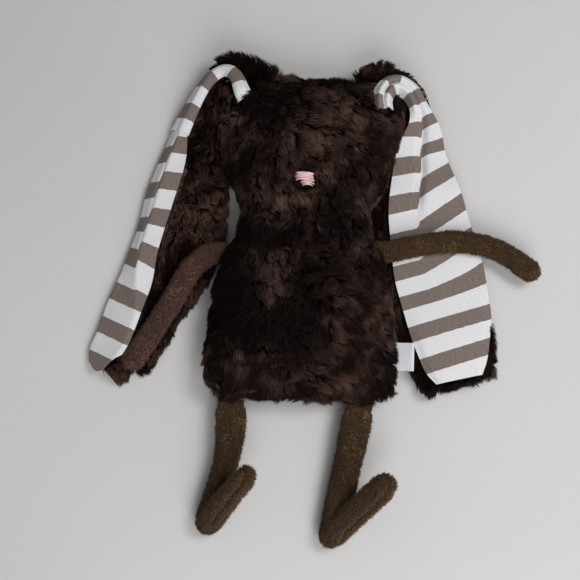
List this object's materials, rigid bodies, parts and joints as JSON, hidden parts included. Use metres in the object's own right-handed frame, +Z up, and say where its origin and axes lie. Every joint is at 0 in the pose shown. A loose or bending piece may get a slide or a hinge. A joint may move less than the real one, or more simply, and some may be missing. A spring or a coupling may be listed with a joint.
{
  "type": "plush bunny",
  "caption": "Floppy stuffed bunny lying on its back: flat plush head-and-body bag, long lop ears with striped lining, thin fleece arms and legs, stitched nose.",
  "frame": {"origin": "centre of the flat of the back panel on which the toy lies, half way between hem and top seam", "axes": "+Z up out of the belly, +Y towards the head, +X to the right as seen from the front"},
  "size_m": [0.3572, 0.3909, 0.058],
  "materials": {
    "plush": "long-pile dark brown plush",
    "jersey": "white and taupe striped cotton jersey",
    "fleece_brown": "short-nap olive brown fleece",
    "fleece_red_brown": "short-nap reddish brown fleece",
    "satin": "blank white satin ribbon",
    "thread": "pale pink embroidery thread",
    "filling": "white polyester fibre filling"
  },
  "bodies": {
    "body": {"body_front_panel": "plush", "body_back_panel": "plush", "body_stuffing": "filling", "nose_embroidery": "thread", "ear_left_base_plush": "plush", "ear_left_base_lining": "jersey", "ear_right_base_plush": "plush", "ear_right_base_lining": "jersey"},
    "ear_left": {"ear_left_flap_plush": "plush", "ear_left_flap_lining": "jersey"},
    "ear_right": {"ear_right_flap_plush": "plush", "ear_right_flap_lining": "jersey"},
    "arm_left": {"arm_left_front_layer": "fleece_red_brown", "arm_left_back_layer": "fleece_red_brown"},
    "arm_right": {"arm_right_front_layer": "fleece_brown", "arm_right_back_layer": "fleece_brown"},
    "leg_left": {"leg_left_outer_half": "fleece_brown", "leg_left_inner_half": "fleece_brown", "leg_left_stuffing": "filling"},
    "leg_right": {"leg_right_outer_half": "fleece_brown", "leg_right_inner_half": "fleece_brown", "leg_right_stuffing": "filling"},
    "label": {"label_loop": "satin"}
  },
  "joints": [
    {"name": "ear_left_swing", "type": "hinge", "parent": "body", "child": "ear_left", "pos_m": [-0.09, 0.11, 0], "axis": [0, 0, -1], "range_deg": [0, 100]},
    {"name": "ear_right_swing", "type": "hinge", "parent": "body", "child": "ear_right", "pos_m": [0.09, 0.11, 0], "axis": [0, 0, 1], "range_deg": [0, 100]},
    {"name": "arm_left_lift", "type": "hinge", "parent": "body", "child": "arm_left", "pos_m": [-0.06598, -0.016, 0.018], "axis": [0.3905, 0.9206, 0], "range_deg": [0, 95]},
    {"name": "arm_right_lift", "type": "hinge", "parent": "body", "child": "arm_right", "pos_m": [0.06335, -0.01, 0.018], "axis": [0.4082, -0.9129, 0], "range_deg": [0, 95]},
    {"name": "leg_left_hip", "type": "hinge", "parent": "body", "child": "leg_left", "pos_m": [-0.052, -0.1342, 0.018], "axis": [-1, 0, 0], "range_deg": [-90, 90]},
    {"name": "leg_right_hip", "type": "hinge", "parent": "body", "child": "leg_right", "pos_m": [0.0475, -0.1342, 0.018], "axis": [-1, 0, 0], "range_deg": [-90, 90]},
    {"name": "label_flap", "type": "hinge", "parent": "body", "child": "label", "pos_m": [0.07584, -0.094, 0.018], "axis": [0.0387, -0.9993, 0], "range_deg": [-20, 100]}
  ]
}
